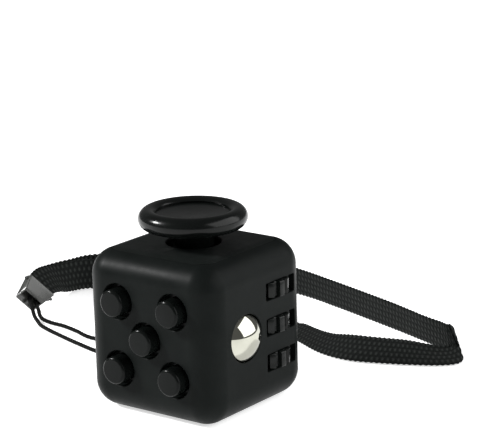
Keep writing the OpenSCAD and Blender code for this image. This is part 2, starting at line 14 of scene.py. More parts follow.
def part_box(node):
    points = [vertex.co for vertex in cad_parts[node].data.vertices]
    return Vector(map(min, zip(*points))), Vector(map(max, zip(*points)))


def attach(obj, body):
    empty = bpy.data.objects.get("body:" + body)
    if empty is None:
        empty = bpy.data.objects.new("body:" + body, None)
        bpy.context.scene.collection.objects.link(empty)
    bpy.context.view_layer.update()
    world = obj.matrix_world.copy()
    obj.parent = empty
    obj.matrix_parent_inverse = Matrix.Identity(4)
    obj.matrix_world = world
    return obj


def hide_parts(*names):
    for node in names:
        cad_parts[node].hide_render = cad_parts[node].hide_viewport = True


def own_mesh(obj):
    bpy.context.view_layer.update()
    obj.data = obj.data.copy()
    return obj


MM = 0.001
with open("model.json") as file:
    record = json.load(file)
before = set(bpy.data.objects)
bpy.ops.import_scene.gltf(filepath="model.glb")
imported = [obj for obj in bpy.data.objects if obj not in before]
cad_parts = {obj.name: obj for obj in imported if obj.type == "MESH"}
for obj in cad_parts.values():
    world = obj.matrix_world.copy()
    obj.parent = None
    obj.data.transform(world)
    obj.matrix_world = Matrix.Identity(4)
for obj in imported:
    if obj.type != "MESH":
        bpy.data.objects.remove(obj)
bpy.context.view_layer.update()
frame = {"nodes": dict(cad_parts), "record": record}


# ---------- sizes read from the frame ----------

def node_box(node):
    """Lower and upper corner of a CAD node, in millimetres."""
    low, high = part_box(node)
    return Vector(low) / MM, Vector(high) / MM


def node_centre(node):
    """Middle of a CAD node's box."""
    low, high = node_box(node)
    return (low + high) / 2


shell_low, shell_high = node_box("shell")
HALF = (shell_high.x - shell_low.x) / 2
TOP = node_box("top_panel")[1].z
MID_Z = TOP / 2
EDGE_R = 5.6
WALL = 2.0
PANEL_W = 2 * node_box("top_panel")[1].x
PANEL_R = 3.2
PANEL_T = 2.0
PANEL_GAP = 0.1
LEDGE_W = PANEL_W - 2.7
LEDGE_T = 1.5
PAST = 1  # how far a cutter reaches past the surface that it opens


# ---------- camera ----------

def add_camera():
    """The photograph's long lens, aimed from its azimuth, elevation and roll."""
    azimuth, elevation, roll = radians(37.254), radians(14.858), radians(-1.46)
    look_at = Vector((6.04, 11.25, 36.49))
    distance = 459.33
    lens = 160.05
    back = Vector((sin(azimuth) * cos(elevation), -cos(azimuth) * cos(elevation), sin(elevation)))
    level = Vector((cos(azimuth), sin(azimuth), 0))
    upright = back.cross(level)
    right = level * cos(roll) + upright * sin(roll)
    up = back.cross(right)
    camera_data = bpy.data.cameras.new("camera")
    camera_data.sensor_width = 36
    camera_data.lens = lens
    camera_data.clip_start = 0.01
    camera = bpy.data.objects.new("camera", camera_data)
    bpy.context.scene.collection.objects.link(camera)
    turn = Matrix((right, up, back)).transposed().to_4x4()
    camera.matrix_world = Matrix.Translation((look_at + back * distance) * MM) @ turn
    bpy.context.scene.camera = camera


add_camera()


# ---------- materials ----------

class Nodes:
    """Shorthand for the nodes of one material."""

    def __init__(self, name):
        self.material = bpy.data.materials.new(name)
        self.material.use_nodes = True
        self.tree = self.material.node_tree
        self.shader = self.tree.nodes["Principled BSDF"]

    def add(self, kind, **values):
        node = self.tree.nodes.new(kind)
        for key, value in values.items():
            setattr(node, key, value)
        return node

    def link(self, source, target):
        self.tree.links.new(source, target)

    def noise(self, size_mm, detail):
        """Noise whose blotches are about size_mm across."""
        node = self.add("ShaderNodeTexNoise")
        node.inputs["Scale"].default_value = 1 / (size_mm * MM)
        node.inputs["Detail"].default_value = detail
        self.link(self.add("ShaderNodeTexCoord").outputs["Object"], node.inputs["Vector"])
        return node.outputs["Fac"]

    def spread(self, value, low, high, from_low=0.3, from_high=0.7):
        """Value stretched from its usual range to low and high."""
        node = self.add("ShaderNodeMapRange")
        node.inputs["From Min"].default_value = from_low
        node.inputs["From Max"].default_value = from_high
        node.inputs["To Min"].default_value = low
        node.inputs["To Max"].default_value = high
        self.link(value, node.inputs["Value"])
        return node.outputs["Result"]

    def maths(self, operation, first, second=None):
        """One step of arithmetic on numbers or sockets."""
        node = self.add("ShaderNodeMath", operation=operation)
        for socket, value in zip(node.inputs, (first, second)):
            if isinstance(value, (int, float)):
                socket.default_value = value
            elif value is not None:
                self.link(value, socket)
        return node.outputs[0]

    def mixed(self, amount, dark, light):
        """Colour between dark and light."""
        node = self.add("ShaderNodeMix", data_type="RGBA")
        self.link(amount, node.inputs["Factor"])
        node.inputs["A"].default_value = (*dark, 1)
        node.inputs["B"].default_value = (*light, 1)
        return node.outputs["Result"]

    def bump(self, height, depth_mm):
        """Surface direction over a relief that is depth_mm deep."""
        node = self.add("ShaderNodeBump")
        node.inputs["Strength"].default_value = 1
        node.inputs["Distance"].default_value = depth_mm * MM
        self.link(height, node.inputs["Height"])
        return node.outputs["Normal"]

    def set(self, **values):
        """Gives the shader's sockets their values or links, and returns the material."""
        for key, value in values.items():
            socket = self.shader.inputs[key.replace("_", " ")]
            if isinstance(value, bpy.types.NodeSocket):
                self.link(value, socket)
            else:
                socket.default_value = value
        return self.material


def moulded(name, dark, light, roughness, grain_mm=0.16, grain_depth=0.006, specular=0.5):
    """Moulded plastic: spark-eroded grain, faint flow mottling and handling marks."""
    n = Nodes(name)
    mottle = n.noise(6, 2)
    grain = n.noise(grain_mm, 1)
    rubs = n.noise(1.7, 5)
    shine = n.maths("ADD", n.spread(mottle, roughness - 0.04, roughness + 0.04),
                    n.spread(rubs, -0.03, 0.03))
    return n.set(Base_Color=n.mixed(n.spread(mottle, 0, 1), dark, light), Roughness=shine,
                 Specular_IOR_Level=specular, Normal=n.bump(grain, grain_depth))


def metal(name, dark, light, roughness, grain_mm=0.4, grain_depth=0.0008):
    """Bare metal with a fine uneven polish."""
    n = Nodes(name)
    polish = n.noise(grain_mm, 6)
    smear = n.noise(3.5, 3)
    return n.set(Base_Color=n.mixed(n.spread(smear, 0, 1), dark, light), Metallic=1.0,
                 Roughness=n.spread(smear, roughness * 0.7, roughness * 1.3),
                 Normal=n.bump(polish, grain_depth))


def woven(name, dark, light, stitch, row, depth_mm):
    """Yarn in rows of staggered stitches, painted lighter on their crowns and darker in the gaps between
    them: UV runs in millimetres along and across the band.
    """
    n = Nodes(name)
    split = n.add("ShaderNodeSeparateXYZ")
    n.link(n.add("ShaderNodeUVMap", uv_map="run").outputs["UV"], split.inputs[0])
    rows = n.maths("DIVIDE", split.outputs["Y"], row)
    shifted = n.maths("MULTIPLY", n.maths("FLOOR", rows), 0.5)
    run = n.maths("ADD", n.maths("DIVIDE", split.outputs["X"], stitch), shifted)
    ridge = n.maths("ABSOLUTE", n.maths("SINE", n.maths("MULTIPLY", rows, pi)))
    bead = n.maths("ABSOLUTE", n.maths("COSINE", n.maths("MULTIPLY", run, pi)))
    yarn = n.maths("MULTIPLY", ridge, n.maths("POWER", bead, 2.0))
    fuzz = n.noise(0.12, 4)
    # painted highlight on the stitches' crowns and painted shade in the gaps between them, following the
    # yarn's relief
    crest_light_gap_shade = n.maths("ADD", n.spread(yarn, 0, 0.8, 0.35, 1), n.spread(fuzz, 0, 0.2))
    height = n.maths("ADD", yarn, n.spread(fuzz, 0, 0.35))
    return n.set(Base_Color=n.mixed(crest_light_gap_shade, dark, light), Roughness=0.75,
                 Sheen_Weight=0.015, Sheen_Roughness=0.5, Specular_IOR_Level=0.05,
                 Normal=n.bump(height, depth_mm))


MATERIALS = {
    "shell_black": moulded("casing", (0.0050, 0.0063, 0.0059), (0.0071, 0.0086, 0.0081), 0.41,
                           specular=0.044),
    "panel_black": moulded("panels", (0.0066, 0.0080, 0.0075), (0.0090, 0.0107, 0.0101), 0.43,
                           specular=0.060),
    "button_black": moulded("buttons", (0.0036, 0.0044, 0.0041), (0.0048, 0.0059, 0.0055), 0.20,
                            0.2, 0.002, 0.08),
    "stick_black": moulded("joystick", (0.0026, 0.0032, 0.0030), (0.0040, 0.0048, 0.0045), 0.19,
                           0.2, 0.001, 0.17),
    "roller_black": moulded("rollers", (0.0045, 0.0055, 0.0050), (0.0062, 0.0075, 0.0070), 0.24,
                            0.2, 0.003, 0.17),
    "inner_grey": moulded("inner_frame", (0.012, 0.012, 0.012), (0.018, 0.018, 0.018), 0.55,
                          specular=0.25),
    "acetal_white": moulded("acetal", (0.62, 0.61, 0.58), (0.72, 0.71, 0.68), 0.35, 0.3, 0.002),
    "polished_steel": metal("polished_steel", (0.42, 0.42, 0.36), (0.46, 0.46, 0.40), 0.045, 0.9,
                            0.0003),
    "spring_steel": metal("spring_steel", (0.50, 0.50, 0.52), (0.64, 0.64, 0.66), 0.28),
    "screw_steel": metal("screw_steel", (0.52, 0.53, 0.55), (0.66, 0.67, 0.69), 0.33),
    "cord_black": woven("cord_braid", (0.003, 0.003, 0.003), (0.012, 0.013, 0.012), 0.9, 0.47,
                        0.05),
    "strap_black": woven("strap_weave", (0.0045, 0.0054, 0.0051), (0.029, 0.032, 0.030), 1.2, 1.48,
                         0.12),
    "clip_black": moulded("clip", (0.022, 0.023, 0.021), (0.030, 0.032, 0.028), 0.26, 0.25, 0.004,
                          0.62),
}
slot_of = {part["node"]: part["material_slot"] for part in frame["record"]["subparts"]}
body_of = {node: body for body, nodes in frame["record"]["behaviour"]["bodies"].items()
           for node in nodes}

for node, piece in frame["nodes"].items():
    piece.data.materials.clear()
    piece.data.materials.append(MATERIALS[slot_of[node]])


# ---------- mesh tools ----------

def show(name, data):
    """Puts a mesh or a lamp into the scene as an object."""
    piece = bpy.data.objects.new(name, data)
    bpy.context.scene.collection.objects.link(piece)
    return piece


def solid(name, points, faces, uvs=None):
    """A mesh object from millimetre points, its faces turned outwards."""
    mesh = bpy.data.meshes.new(name)
    mesh.from_pydata([Vector(p) * MM for p in points], [], faces)
    if uvs:
        layer = mesh.uv_layers.new(name="run")
        for loop in mesh.loops:
            layer.data[loop.index].uv = uvs[loop.vertex_index]
    build = bmesh.new()
    build.from_mesh(mesh)
    bmesh.ops.recalc_face_normals(build, faces=build.faces)
    build.to_mesh(mesh)
    build.free()
    return show(name, mesh)


def settle(piece, sharp=35):
    """Applies the piece's modifiers and shades it smooth up to the sharp angle."""
    evaluated = piece.evaluated_get(bpy.context.evaluated_depsgraph_get())
    mesh = bpy.data.meshes.new_from_object(evaluated)
    piece.modifiers.clear()
    piece.data = mesh
    for polygon in mesh.polygons:
        polygon.use_smooth = True
    mesh.set_sharp_from_angle(angle=radians(sharp))
    return piece


def combine(piece, other, operation, sharp=35):
    """Joins the other piece to this one, cuts it out or keeps what is inside it, and drops it."""
    modifier = piece.modifiers.new("combine", "BOOLEAN")
    modifier.operation = operation
    modifier.solver = "EXACT"
    modifier.object = other
    settle(piece, sharp)
    bpy.data.objects.remove(other)


def cut(piece, *cutters):
    """Takes the cutters out of the piece."""
    for cutter in cutters:
        combine(piece, cutter, "DIFFERENCE")


def weighted(piece):
    """Keeps flat faces flat beside round ones."""
    modifier = piece.modifiers.new("flat", "WEIGHTED_NORMAL")
    modifier.keep_sharp = True
    modifier.weight = 80


def stand_for(piece, node):
    """The piece is shown in place of a CAD node and moves with its body."""
    slot = slot_of[node]
    piece.data.materials.clear()
    piece.data.materials.append(MATERIALS[slot])
    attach(piece, body_of[node])
    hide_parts(node)
    return piece


def loft(name, rings, closed_ends=True, uvs=None):
    """A skin over rings of points that all have the same count."""
    count = len(rings[0])
    points = [p for ring in rings for p in ring]
    faces = []
    for k in range(len(rings) - 1):
        for i in range(count):
            j = (i + 1) % count
            faces.append((k * count + i, k * count + j, (k + 1) * count + j, (k + 1) * count + i))
    if closed_ends:
        faces.append(tuple(range(count)))
        faces.append(tuple(range((len(rings) - 1) * count, len(rings) * count)))
    return solid(name, points, faces, uvs)


def lathe(name, profile, place=Matrix(), steps=96):
    """Turns (radius, height) points about the place's own Z axis. The ends meet the axis."""
    points = [place @ Vector((0, 0, profile[0][1]))]
    inner = profile[1:-1]
    for radius, height in inner:
        for i in range(steps):
            angle = 2 * pi * i / steps
            points.append(place @ Vector((radius * cos(angle), radius * sin(angle), height)))
    points.append(place @ Vector((0, 0, profile[-1][1])))
    faces = []
    last = len(points) - 1
    for i in range(steps):
        j = (i + 1) % steps
        faces.append((0, 1 + j, 1 + i))
        for k in range(len(inner) - 1):
            a, b = 1 + k * steps, 1 + (k + 1) * steps
            faces.append((a + i, a + j, b + j, b + i))
        end = 1 + (len(inner) - 1) * steps
        faces.append((end + i, end + j, last))
    return solid(name, points, faces)


def arc(centre, radius, start, end, steps=6):
    """Points of an arc in degrees, as (radius, height) or (x, y) pairs."""
    return [(centre[0] + radius * cos(radians(start + (end - start) * k / steps)),
             centre[1] + radius * sin(radians(start + (end - start) * k / steps)))
            for k in range(steps + 1)]


def front(x, z):
    """Place on the button face, its Z pointing out of the cube."""
    return Matrix.Translation((x, -HALF, z)) @ Matrix.Rotation(pi / 2, 4, "X")


def right(y, z):
    """Place on the ball face, its Z pointing out of the cube and its X towards the rear."""
    turn = Matrix(((0, 0, 1), (1, 0, 0), (0, 1, 0))).to_4x4()
    return Matrix.Translation((HALF, y, z)) @ turn


def left(y, z):
    """Place on the dial face, its Z pointing out of the cube and its X up."""
    return Matrix.Translation((-HALF, y, z)) @ Matrix.Rotation(-pi / 2, 4, "Y")


def rear(x, z):
    """Place on the rocker face, its Z pointing out of the cube."""
    return Matrix.Translation((x, HALF, z)) @ Matrix.Rotation(-pi / 2, 4, "X")


def mouth(fillet, steps=5):
    """(widening, height) steps of a hole's rounded mouth, from inside the wall to outside it."""
    shape = [(fillet * (1 - cos(a)), fillet * (sin(a) - 1))
             for a in (radians(78) * k / steps for k in range(steps + 1))]
    widest, height = shape[-1]
    return shape + [(widest + 1.5 * fillet, height + fillet)]


def round_cutter(radius, depth, fillet, place):
    """Cutter for a round hole with a rounded mouth."""
    profile = [(0, -depth), (radius, -depth)]
    profile += [(radius + w, h) for w, h in mouth(fillet)]
    return lathe("cutter", profile + [(0, profile[-1][1])], place)


def round_rectangle(width, height, radius, steps=5):
    """Outline of a rectangle with round corners, centred on the origin."""
    outline = []
    for quarter, (sx, sy) in enumerate(((1, 1), (-1, 1), (-1, -1), (1, -1))):
        centre = (sx * (width / 2 - radius), sy * (height / 2 - radius))
        outline += arc(centre, radius, 90 * quarter, 90 * quarter + 90, steps)
    return outline


def slot_cutter(width, height, corner, depth, fillet, place):
    """Cutter for a round-cornered opening with a rounded mouth."""
    steps = [(0, -depth)] + mouth(fillet)
    rings = [[place @ Vector((x, y, h)) for x, y in
              round_rectangle(width + 2 * w, height + 2 * w, corner + w)] for w, h in steps]
    return loft("cutter", rings)


def column(width, radius, low, high, steps=10):
    """Upright column with a round-cornered square section."""
    outline = round_rectangle(width, width, radius, steps)
    return loft("cutter", [[(x, y, z) for x, y in outline] for z in (low, high)])


def rounded_block(name):
    """The cube's outer form: every edge and corner rounded by EDGE_R."""
    rounds = 9
    lean = [tan(radians(45) * k / rounds) for k in range(1, rounds + 1)]

    def stations(half, flats):
        flat = half - EDGE_R
        inner = [flat * (2 * k / flats - 1) for k in range(flats + 1)]
        outer = [flat + EDGE_R * t for t in lean]
        return [-x for x in reversed(outer)] + inner + outer

    sides = (stations(HALF, 4), stations(HALF, 4), stations(MID_Z, 4))
    build = bmesh.new()
    found = {}

    def corner(p):
        key = tuple(round(c, 5) for c in p)
        if key not in found:
            core = Vector([max(EDGE_R - h, min(h - EDGE_R, c))
                           for c, h in zip(p, (HALF, HALF, MID_Z))])
            out = core + (Vector(p) - core).normalized() * EDGE_R
            found[key] = build.verts.new((out + Vector((0, 0, MID_Z))) * MM)
        return found[key]

    for axis in range(3):
        u, v = (axis + 1) % 3, (axis + 2) % 3
        for level in (sides[axis][0], sides[axis][-1]):
            for a, b in zip(sides[u], sides[u][1:]):
                for c, d in zip(sides[v], sides[v][1:]):
                    quad = []
                    for s, t in ((a, c), (b, c), (b, d), (a, d)):
                        p = [0.0, 0.0, 0.0]
                        p[axis], p[u], p[v] = level, s, t
                        quad.append(corner(p))
                    build.faces.new(quad)
    bmesh.ops.recalc_face_normals(build, faces=build.faces)
    mesh = bpy.data.meshes.new(name)
    build.to_mesh(mesh)
    build.free()
    return show(name, mesh)


# ---------- lanyard ----------

CORD_D = 0.9
STRAP_W = 7.4
STRAP_T = 0.9

# Route of the thin cord: out of one end of the eyelet, round inside the clip and back
CORD_ROUTE = [
    (-12.9, 12.6, 6.8), (-16.5, 9, 6.8), (-18.6, 7.7, 6.6), (-22, 8.3, 4.8), (-26, 9.3, 2.4),
    (-31, 10, 0.8), (-37, 10.8, 0.5), (-44, 12.6, 0.5), (-51.4, 14.9, 0.5), (-57.5, 17, 0.5),
    (-60.6, 18.3, 0.5), (-63.2, 20.1, 0.5), (-65.9, 21.9, 0.9), (-67.48, 23.06, 1.78),
    (-69.1, 24.3, 2.6), (-70.6, 25.5, 3.5), (-70.6, 26.5, 4.3), (-70.3, 27.7, 4.3),
    (-70, 27.6, 3.1), (-69.9, 26.7, 2.3), (-68.3, 25.5, 2), (-66.2, 23.7, 1.8),
    (-64.65, 22.35, 1.25), (-62.9, 21.6, 0.7), (-59.9, 21.2, 0.5), (-56, 20.9, 0.5),
    (-51, 19.6, 0.5), (-44.3, 17.6, 0.5), (-34, 18.6, 0.7), (-24, 21.3, 2), (-16, 22.8, 4),
    (-11.4, 22.3, 5.6), (-8.7, 20.4, 6.5), (-8, 18.2, 6.8), (-9, 16.5, 6.8), (-12.6, 12.9, 6.8)]

# Route of the strap's lower edge, and how far its upper edge leans along X and Y
STRAP_ROUTE = [
    (-69.4, 30.05, 1.45, -0.335, -0.64), (-69.4, 31.65, 2.75, -0.335, -0.64),
    (-71.2, 34.8, 2.4, -0.3, -0.5), (-73.4, 38.8, 0.9, -0.2, -0.26),
    (-74.6, 44.5, 0.1, 0, -0.05), (-73.2, 50.5, 0, 0, 0), (-66, 57.6, 0, 0, 0),
    (-56, 64.6, 0, 0, -0.04), (-46, 69.2, 0, 0, -0.1), (-35, 71.5, 0, -0.03, -0.2),
    (-23, 70.4, 0, -0.07, -0.27), (-11, 66.9, 0, -0.08, -0.28), (1, 62.9, 0, -0.08, -0.28),
    (12, 59.1, 0, -0.09, -0.28), (22, 55.4, 0, -0.11, -0.3), (27.6, 53.2, 0, -0.12, -0.26),
    (31.4, 51.4, 0, -0.25, -0.15), (33.7, 49.6, 0, -0.6, 0.45), (34.3, 47.4, 0, -0.667, 0.65),
    (32.6, 44.8, 0, -0.62, 0.74), (28.4, 42, 0, -0.55, 0.75), (20.5, 38.4, 0, -0.3, 0.835),
    (12.5, 36, 0, -0.18, 0.86), (4.5, 37, 0.05, -0.13, 0.95), (-5, 41.4, 0.1, -0.15, 0.98),
    (-16, 46.5, 0.1, -0.05, 0.98), (-28, 51, 0, 0, 0.75), (-41, 53.6, 0, 0, 0.35),
    (-54, 53.8, 0, 0, 0.1), (-65, 51.4, 0, 0, 0), (-71.2, 46.8, 0.1, 0, -0.05),
    (-71.6, 40.2, 0.9, -0.2, -0.26), (-69.7, 35, 2.6, -0.3, -0.5),
    (-68.6, 31.45, 2.95, -0.335, -0.64), (-68.6, 29.85, 1.65, -0.335, -0.64)]


def smooth(route, parts):
    """Points of the smooth curve through a route, as many to each gap as parts."""
    points = [Vector(p) for p in route]

    def entry(i):
        if i < 0:
            return 2 * points[0] - points[1]
        if i >= len(points):
            return 2 * points[-1] - points[-2]
        return points[i]

    curve = []
    for i in range(len(points) - 1):
        a, b, c, d = (entry(i + k) for k in (-1, 0, 1, 2))
        for k in range(parts):
            t = k / parts
            curve.append(0.5 * (2 * b + (c - a) * t + (2 * a - 5 * b + 4 * c - d) * t * t
                                + (3 * b - a - 3 * c + d) * t * t * t))
    return curve + [points[-1]]


def distances(path):
    """Length walked at each point of a path."""
    walked = [0.0]
    for a, b in zip(path, path[1:]):
        walked.append(walked[-1] + (b - a).length)
    return walked


def neighbours(path, k):
    """The points before and after point k, or the end itself."""
    return path[max(k - 1, 0)], path[min(k + 1, len(path) - 1)]


def thin_cord():
    """Braided cord, a round tube along its route whose plies swell it a little."""
    sides, plies, twist = 12, 3, 1.3
    path = smooth(CORD_ROUTE, 12)
    walked = distances(path)
    rings, uvs = [], []
    for k, point in enumerate(path):
        before, after = neighbours(path, k)
        along = (after - before).normalized()
        level = Vector((0, 0, 1)).cross(along).normalized()
        up = along.cross(level)
        ring = []
        for i in range(sides):
            angle = 2 * pi * i / sides
            swell = 1 + 0.05 * sin(plies * angle + walked[k] * 2 * pi / twist)
            ring.append(point + (level * cos(angle) + up * sin(angle)) * CORD_D / 2 * swell)
            uvs.append((walked[k], i / sides * pi * CORD_D))
        rings.append(ring)
    piece = settle(loft("cord", rings, uvs=uvs), 60)
    stand_for(piece, "lanyard_cord")
    return piece, path


def wrist_strap():
    """Woven strap: yarn wales along it, and stitches that stand up in staggered rows."""
    wales, per_wale = 5, 8
    stitch = 1.2
    flat, crown, ridge_height, fray = 0.36, 0.3, 0.16, 0.12
    columns = wales * per_wale
    route = smooth(STRAP_ROUTE, 40)
    middle = [Vector(p[:3]) for p in route]
    walked = distances(middle)
    rings, uvs, centre = [], [], []
    for k, entry in enumerate(route):
        before, after = neighbours(middle, k)
        lean_x, lean_y = entry[3], entry[4]
        up = Vector((lean_x, lean_y, sqrt(max(0, 1 - lean_x ** 2 - lean_y ** 2))))
        side = (after - before).cross(up).normalized()
        foot = middle[k] + Vector((0, 0, STRAP_T / 2))
        centre.append(foot + up * STRAP_W / 2)

        def face(sign):
            line = []
            for c in range(columns + 1):
                share = c / columns
                wale = share * wales
                phase = walked[k] / stitch + 0.5 * (int(min(wale, wales - 0.01)) % 2)
                ridge = abs(sin(pi * wale))
                bead = 0.5 + 0.5 * cos(2 * pi * phase)
                taper = min(1, sqrt(max(0, sin(pi * share))) * 2.2)
                height = STRAP_T / 2 * (flat + crown * taper)
                height += ridge_height * taper * ridge * (0.4 + 0.6 * bead)
                edge = fray * cos(2 * pi * walked[k] / stitch) * (2 * share - 1) ** 7
                line.append((foot + up * (STRAP_W * share + edge) + side * sign * height,
                             (walked[k], STRAP_W * share)))
            return line

        ring = face(1) + face(-1)[::-1]
        rings.append([p for p, _ in ring])
        uvs += [uv for _, uv in ring]
    piece = settle(loft("strap", rings, uvs=uvs), 70)
    stand_for(piece, "wrist_strap")
    return piece, centre


CLIP_AT = Vector((-70.25, 29.15, 5.95))
CLIP_AXIS = Vector((-0.005, -0.768, -0.638)).normalized()
CLIP_WIDTH = Vector((0.335, 0.64, -0.69))
CLIP_ACROSS = (CLIP_WIDTH - CLIP_AXIS * CLIP_WIDTH.dot(CLIP_AXIS)).normalized()
CLIP_NORMAL = CLIP_AXIS.cross(CLIP_ACROSS)
CLIP_PLACE = Matrix.Translation(CLIP_AT) @ Matrix(
    (CLIP_ACROSS, CLIP_NORMAL, CLIP_AXIS)).transposed().to_4x4()
CLIP_PIN_AT = 1.0


def clip_half(name, node, side):
    """Half of the strap's clip: a tapering shell, open at the mouth and at its slanted end."""
    mouth_w, mouth_t, end_w, end_t, end_x, end_z, slant = 4.0, 1.2, 2.95, 1.36, -0.5, 4.75, 1.2
    soft, wall, lip_ease, lip_share = 0.28, 0.34, 0.09, 0.05
    rings = []
    for t in (0, 0.03, 0.08, 0.25, 0.5, 0.75, 0.93, 0.97, 1):
        lip = lip_ease * (max(0, 1 - t / lip_share) + max(0, 1 - (1 - t) / lip_share))
        w = mouth_w + (end_w - mouth_w) * t - lip
        h = mouth_t + (end_t - mouth_t) * t - lip
        ring = [(-w, 0), (-w, h - soft)] + arc((soft - w, h - soft), soft, 180, 90, 5)[1:]
        ring += arc((w - soft, h - soft), soft, 90, 0, 5) + [(w, 0)]
        ring += [(w - wall + lip, 0), (w - wall + lip, h - wall + lip)]
        ring += [(wall - lip - w, h - wall + lip), (wall - lip - w, 0)]
        rings.append([CLIP_PLACE @ Vector((x + end_x * t, side * y,
                                           t * (end_z - slant * side * y / end_t)))
                      for x, y in ring])
    return stand_for(settle(loft(name, rings), 40), node)


def clip_pin():
    """Pin across the clip, both ends chamfered."""
    pin_r, half, chamfer = 0.35, 4.5, 0.07
    profile = [(0, -half), (pin_r - chamfer, -half), (pin_r, chamfer - half),
               (pin_r, half - chamfer), (pin_r - chamfer, half), (0, half)]
    place = CLIP_PLACE @ Matrix.Translation((0, 0, CLIP_PIN_AT)) @ Matrix.Rotation(pi / 2, 4, "Y")
    return stand_for(settle(lathe("clip_pin_pressed", profile, place, 24)), "clip_pin")


cord_piece, cord_path = thin_cord()
strap_piece, strap_path = wrist_strap()
clip_pieces = [clip_half("clip_half_front", "clip_front", 1),
               clip_half("clip_half_back", "clip_back", -1), clip_pin()]


# ---------- casing ----------

BUTTONS = {f"button_{i}": node_centre(f"button_{i}") for i in range(1, 6)}
ROLLERS = {f"roller_{i}": node_centre(f"roller_{i}") for i in range(1, 4)}
BALL = node_centre("ball")
BALL_R = (node_box("ball")[1].z - node_box("ball")[0].z) / 2
BUTTON_HOLE_R = 3.75
WINDOW_W, WINDOW_H = 9.8, 3.7
DIAL_R = 9.55
DIAL_GAP, DIAL_RECESS, SHAFT_HOLE_R = 0.35, 1.0, 1.65
BALL_GAP, BALL_HOLE_R = 0.15, 5.0
ROCKER_HOLE_W, ROCKER_HOLE_H = 8.4, 14.4
EYE_Z, EYE_REACH, EYE_R, EYE_HALF = 6.8, 9.0, 1.0, 8


def ball_place():
    """Place at the ball's centre, its Z along the cube's X."""
    return Matrix.Translation(BALL) @ Matrix.Rotation(pi / 2, 4, "Y")


def bore(radius, low, high, place):
    """Cutter for a plain round hole along the place's Z."""
    return lathe("cutter", [(0, low), (radius, low), (radius, high), (0, high)], place, 48)


def casing():
    """Hollow casing with ledges for the panels, openings for its side controls and the cord's tunnel."""
    piece = rounded_block("casing")
    thick = PANEL_T + LEDGE_T
    through = WALL + PAST
    cut(piece, column(LEDGE_W, PANEL_R, -PAST, TOP + PAST),
        column(2 * (HALF - WALL), EDGE_R - WALL, thick, TOP - thick))
    for low, high in ((-PAST, PANEL_T), (TOP - PANEL_T, TOP + PAST)):
        cut(piece, column(PANEL_W + 2 * PANEL_GAP, PANEL_R, low, high))
    for place in BUTTONS.values():
        cut(piece, round_cutter(BUTTON_HOLE_R, through, 0.22, front(place.x, place.z)))
    cut(piece, lathe("cutter", arc((0, 0), BALL_R + BALL_GAP, -90, 90, 24), ball_place()))
    cut(piece, round_cutter(BALL_HOLE_R, through, 0.2, right(BALL.y, BALL.z)))
    for place in ROLLERS.values():
        cut(piece, slot_cutter(WINDOW_W, WINDOW_H, 0.35, through, 0.18, right(place.y, place.z)))
    cut(piece, slot_cutter(ROCKER_HOLE_W, ROCKER_HOLE_H, 0.5, through, 0.25, rear(0, MID_Z)))
    dial_place = left(0, MID_Z)
    cut(piece, round_cutter(DIAL_R + DIAL_GAP, DIAL_RECESS, 0.25, dial_place),
        bore(SHAFT_HOLE_R, -2 * WALL, PAST, dial_place))
    inset = (HALF + EYE_REACH) / 2
    tunnel = Matrix.Translation((-inset, inset, EYE_Z)) @ Vector((1, 1, 0)).to_track_quat(
        "Z", "Y").to_matrix().to_4x4()
    cut(piece, bore(EYE_R, -EYE_HALF, EYE_HALF, tunnel))
    weighted(piece)
    stand_for(piece, "shell")


casing()


def panel(name, low, high):
    """A panel flush with the casing's outer form."""
    piece = rounded_block(name)
    combine(piece, column(PANEL_W, PANEL_R, low, high), "INTERSECT")
    return piece


def top_panel():
    """Top cover with the joystick's hole."""
    piece = panel("top_cover", TOP - PANEL_T, TOP + PAST)
    hole_r, ease = 5.7, 0.3
    cut(piece, round_cutter(hole_r, PANEL_T + PAST, ease, Matrix.Translation((0, 0, TOP))))
    weighted(piece)
    stand_for(piece, "top_panel")


def base_panel():
    """Base cover with a shallow thumb dish, thicker than the top one."""
    thicker = 1.2
    piece = panel("base_cover", -PAST, PANEL_T + thicker)
    dish_r, dish_depth = 9.0, 1.3
    sphere_r = (dish_r * dish_r + dish_depth * dish_depth) / (2 * dish_depth)
    reach = degrees(atan2(dish_r, sphere_r - dish_depth)) + 1
    profile = [(sphere_r * sin(radians(reach * k / 16)),
                dish_depth - sphere_r + sphere_r * cos(radians(reach * k / 16))) for k in range(17)]
    cut(piece, lathe("cutter", profile + [(0, -2)]))
    weighted(piece)
    stand_for(piece, "base_panel")


top_panel()
base_panel()


# ---------- controls ----------

def push_button(node):
    """Cap with an eased rim, a flange behind the wall and a stem."""
    cap_r, proud, ease = 2.86, 2.2, 0.6
    stem_r, stem_end, flange_r, flange_low, flange_high, break_edge = 1.5, -7.2, 4.3, -3.1, -2.3, 0.1
    profile = [(0, stem_end), (stem_r - break_edge, stem_end), (stem_r, stem_end + break_edge),
               (stem_r, flange_low), (flange_r - break_edge, flange_low),
               (flange_r, flange_low + break_edge), (flange_r, flange_high - break_edge),
               (flange_r - break_edge, flange_high), (cap_r, flange_high)]
    profile += arc((cap_r - ease, proud - ease), ease, 0, 90, 12) + [(0, proud)]
    place = BUTTONS[node]
    stand_for(settle(lathe(f"{node}_cap", profile, front(place.x, place.z)), 40), node)


for node in BUTTONS:
    push_button(node)


def coil(name, place, mean_r, wire, length, turns):
    """Wire wound round the place's own Z axis and climbing it."""
    steps = turns * 24
    rings = []
    for k in range(steps + 1):
        angle = 2 * pi * turns * k / steps
        height = wire / 2 + (length - wire) * k / steps
        rings.append([place @ Vector((r * cos(angle), r * sin(angle), height + rise))
                      for r, rise in arc((mean_r, 0), wire / 2, 0, 324, 9)])
    return settle(loft(name, rings), 60)


def press_spring(node, place, length, radius, wire):
    """A three-turn coil that climbs from the place's origin along its Z and moves with the piece's body.
    """
    piece = stand_for(coil(f"{node}_coil", place, radius, wire, length, turns=3), node)
    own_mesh(piece)


